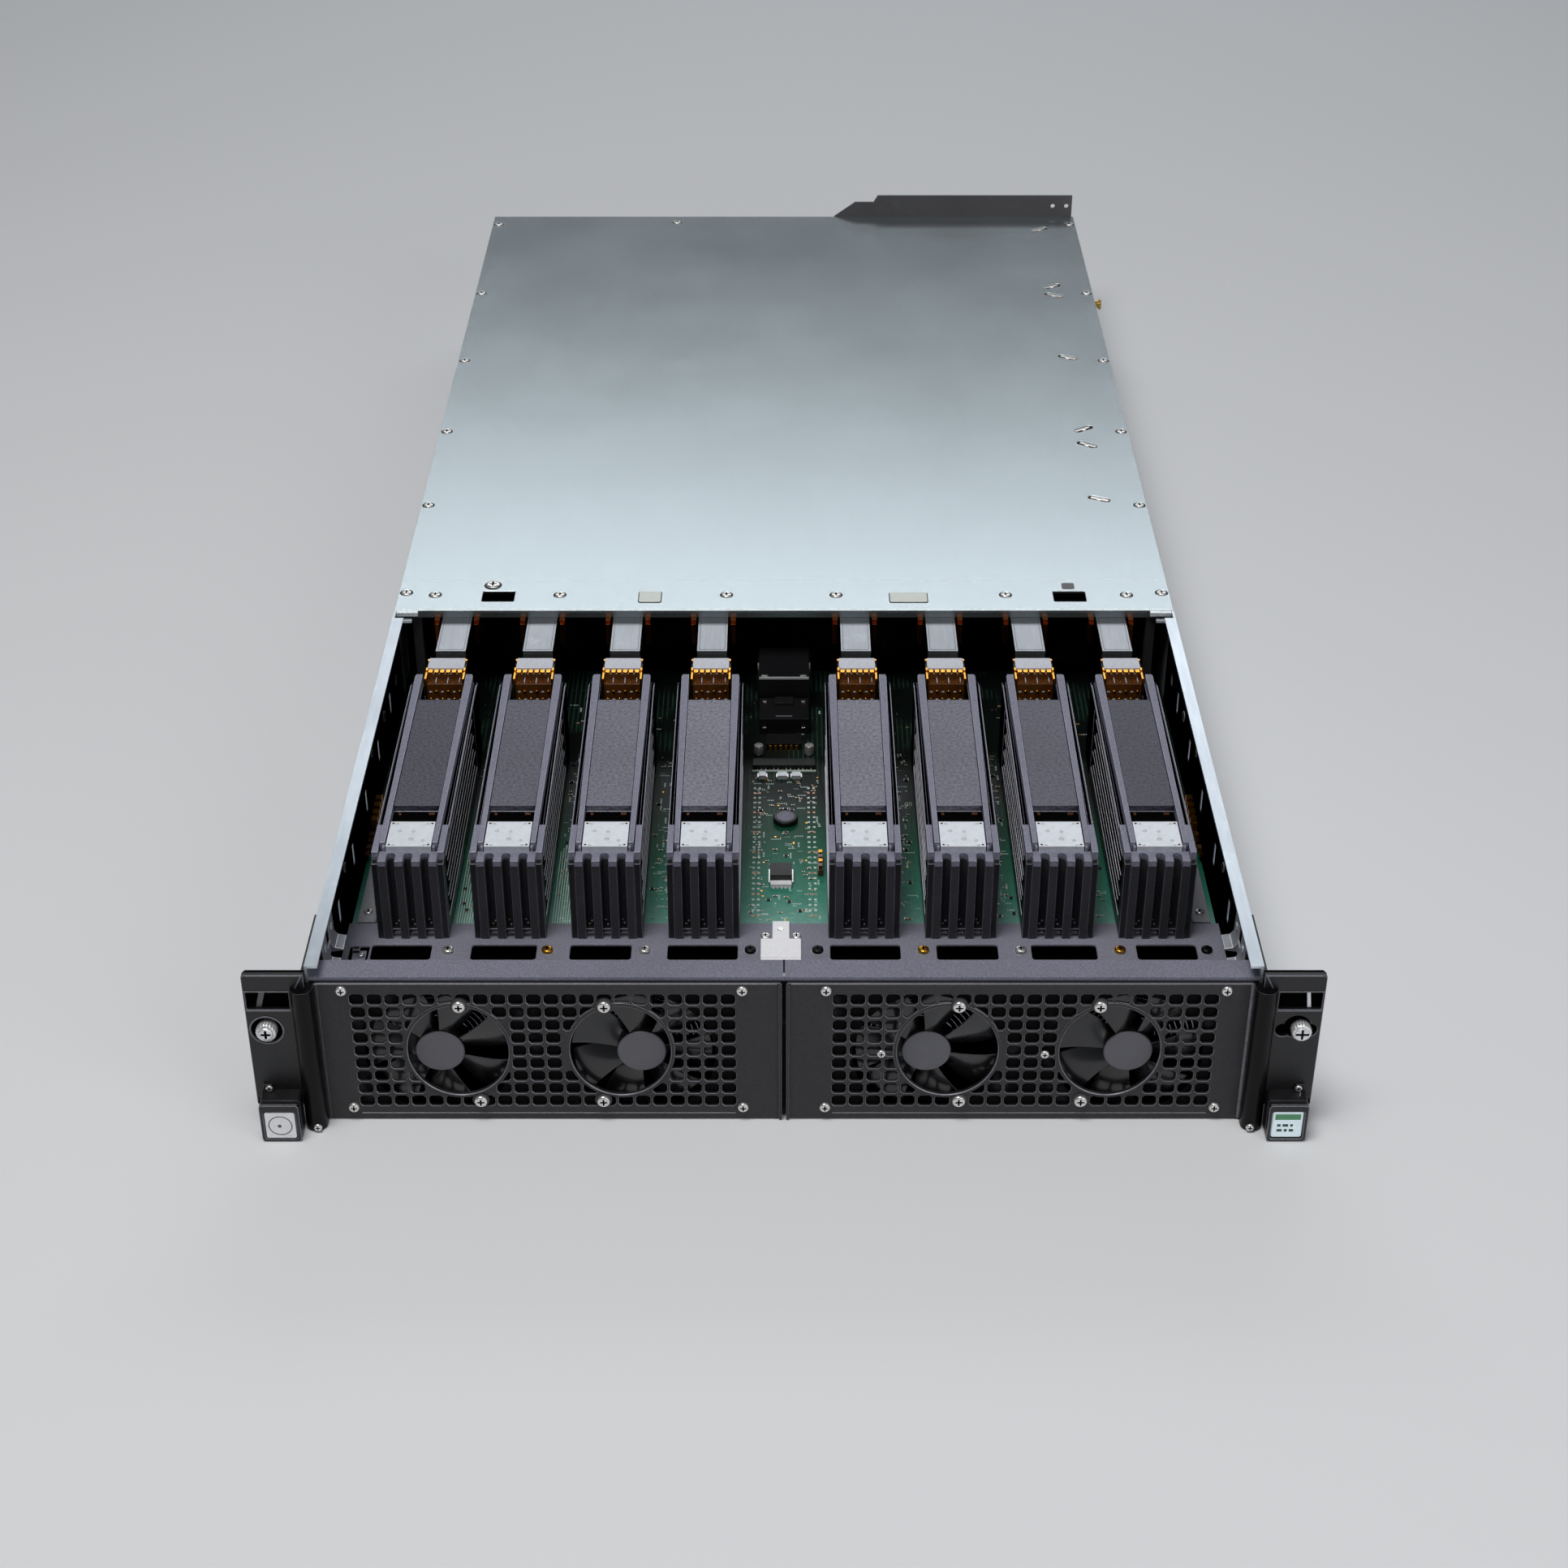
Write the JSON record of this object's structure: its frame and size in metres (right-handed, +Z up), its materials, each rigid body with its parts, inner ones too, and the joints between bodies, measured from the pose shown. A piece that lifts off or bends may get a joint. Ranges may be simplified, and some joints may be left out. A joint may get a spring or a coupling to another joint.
{
  "type": "rack server with accelerator modules",
  "caption": "Shallow rack server with fan panels in front, an open bay of finned accelerator modules behind a deck, a screwed-down rear cover and rack ears.",
  "frame": {"origin": "middle of the footprint, at the underside of the chassis", "axes": "+X to the right seen from the front, +Y from the front panels to the rear, +Z up"},
  "size_m": [0.4826, 0.96, 0.104],
  "materials": {
    "zinc_steel": "zinc-plated sheet, bright folded edges",
    "cover_paint": "pale blue-grey satin coat",
    "charcoal_paint": "fine textured charcoal coat",
    "deck_paint": "textured dark grey coat",
    "black_paint": "satin black coat",
    "screw_steel": "bright nickel screws",
    "button_steel": "bright satin button",
    "screen": "small pale screen with a green band",
    "fan_plastic": "moulded black plastic",
    "board_green": "green circuit board lacquer",
    "socket_black": "moulded black connectors",
    "standoff_brass": "turned brass",
    "black_aluminium": "black anodised fins",
    "module_grey": "textured grey lid with pale rails",
    "strap_steel": "bright strap",
    "sink_aluminium": "plain milled aluminium",
    "supply_steel": "plain steel case",
    "latch_green": "green release lever"
  },
  "bodies": {
    "chassis": {"base_pan": "zinc_steel", "baseboard_parts": "socket_black", "bay_brackets": "zinc_steel", "board_standoffs": "standoff_brass", "centre_latch": "screw_steel", "control_pod_left": "black_paint", "control_pod_right": "black_paint", "cover_screws": "screw_steel", "cpu_heatsinks": "sink_aluminium", "deck_screws": "screw_steel", "ear_left": "black_paint", "ear_right": "black_paint", "fan_frames": "fan_plastic", "front_deck": "deck_paint", "front_frame": "deck_paint", "gpu_baseboard": "board_green", "grille_left": "charcoal_paint", "grille_right": "charcoal_paint", "grille_screws": "screw_steel", "memory_modules": "socket_black", "mid_wall": "zinc_steel", "power_connectors": "socket_black", "power_straps": "strap_steel", "psu_cage": "zinc_steel", "rail_stud": "screw_steel", "rear_bracket": "zinc_steel", "rear_panel": "zinc_steel", "rear_ports": "supply_steel", "side_wall_left": "zinc_steel", "side_wall_right": "zinc_steel", "status_display": "screen", "system_board": "board_green", "top_cover": "cover_paint"},
    "fan_1": {"fan_rotor_1": "fan_plastic"},
    "fan_2": {"fan_rotor_2": "fan_plastic"},
    "fan_3": {"fan_rotor_3": "fan_plastic"},
    "fan_4": {"fan_rotor_4": "fan_plastic"},
    "button": {"power_button": "button_steel"},
    "rack_screw_left": {"thumbscrew_left": "screw_steel"},
    "rack_screw_right": {"thumbscrew_right": "screw_steel"},
    "gpu_1": {"gpu_heatsink_1": "black_aluminium", "gpu_cover_1": "module_grey"},
    "gpu_2": {"gpu_heatsink_2": "black_aluminium", "gpu_cover_2": "module_grey"},
    "gpu_3": {"gpu_heatsink_3": "black_aluminium", "gpu_cover_3": "module_grey"},
    "gpu_4": {"gpu_heatsink_4": "black_aluminium", "gpu_cover_4": "module_grey"},
    "gpu_5": {"gpu_heatsink_5": "black_aluminium", "gpu_cover_5": "module_grey"},
    "gpu_6": {"gpu_heatsink_6": "black_aluminium", "gpu_cover_6": "module_grey"},
    "gpu_7": {"gpu_heatsink_7": "black_aluminium", "gpu_cover_7": "module_grey"},
    "gpu_8": {"gpu_heatsink_8": "black_aluminium", "gpu_cover_8": "module_grey"},
    "supply_1": {"psu_1": "supply_steel"},
    "latch_1": {"psu_latch_1": "latch_green"},
    "supply_2": {"psu_2": "supply_steel"},
    "latch_2": {"psu_latch_2": "latch_green"}
  },
  "joints": [
    {"name": "fan_1_spin", "type": "hinge", "parent": "chassis", "child": "fan_1", "pos_m": [-0.1568, -0.4612, 0.037], "axis": [0, 1, 0], "continuous": true},
    {"name": "fan_2_spin", "type": "hinge", "parent": "chassis", "child": "fan_2", "pos_m": [-0.0648, -0.4612, 0.037], "axis": [0, 1, 0], "continuous": true},
    {"name": "fan_3_spin", "type": "hinge", "parent": "chassis", "child": "fan_3", "pos_m": [0.0648, -0.4612, 0.037], "axis": [0, 1, 0], "continuous": true},
    {"name": "fan_4_spin", "type": "hinge", "parent": "chassis", "child": "fan_4", "pos_m": [0.1568, -0.4612, 0.037], "axis": [0, 1, 0], "continuous": true},
    {"name": "button_press", "type": "slide", "parent": "chassis", "child": "button", "axis": [0, 1, 0], "range_m": [0, 0.0015], "stiffness_N_per_m": 300},
    {"name": "rack_screw_left_turn", "type": "hinge", "parent": "chassis", "child": "rack_screw_left", "pos_m": [-0.23255, -0.464, 0.0553], "axis": [0, 1, 0], "continuous": true},
    {"name": "rack_screw_right_turn", "type": "hinge", "parent": "chassis", "child": "rack_screw_right", "pos_m": [0.23255, -0.464, 0.0553], "axis": [0, 1, 0], "continuous": true},
    {"name": "gpu_1_lift", "type": "slide", "parent": "chassis", "child": "gpu_1", "axis": [0, 0, 1], "range_m": [0, 0.07]},
    {"name": "gpu_2_lift", "type": "slide", "parent": "chassis", "child": "gpu_2", "axis": [0, 0, 1], "range_m": [0, 0.07]},
    {"name": "gpu_3_lift", "type": "slide", "parent": "chassis", "child": "gpu_3", "axis": [0, 0, 1], "range_m": [0, 0.07]},
    {"name": "gpu_4_lift", "type": "slide", "parent": "chassis", "child": "gpu_4", "axis": [0, 0, 1], "range_m": [0, 0.07]},
    {"name": "gpu_5_lift", "type": "slide", "parent": "chassis", "child": "gpu_5", "axis": [0, 0, 1], "range_m": [0, 0.07]},
    {"name": "gpu_6_lift", "type": "slide", "parent": "chassis", "child": "gpu_6", "axis": [0, 0, 1], "range_m": [0, 0.07]},
    {"name": "gpu_7_lift", "type": "slide", "parent": "chassis", "child": "gpu_7", "axis": [0, 0, 1], "range_m": [0, 0.07]},
    {"name": "gpu_8_lift", "type": "slide", "parent": "chassis", "child": "gpu_8", "axis": [0, 0, 1], "range_m": [0, 0.07]},
    {"name": "supply_1_pull", "type": "slide", "parent": "chassis", "child": "supply_1", "axis": [0, 1, 0], "range_m": [0, 0.19]},
    {"name": "supply_2_pull", "type": "slide", "parent": "chassis", "child": "supply_2", "axis": [0, 1, 0], "range_m": [0, 0.19]},
    {"name": "latch_1_swing", "type": "hinge", "parent": "supply_1", "child": "latch_1", "pos_m": [0.132, 0.463, 0.02165], "axis": [0, 0, -1], "range_deg": [0, 14], "stiffness_Nm_per_rad": 0.02},
    {"name": "latch_2_swing", "type": "hinge", "parent": "supply_2", "child": "latch_2", "pos_m": [0.132, 0.463, 0.06315], "axis": [0, 0, -1], "range_deg": [0, 14], "stiffness_Nm_per_rad": 0.02}
  ]
}
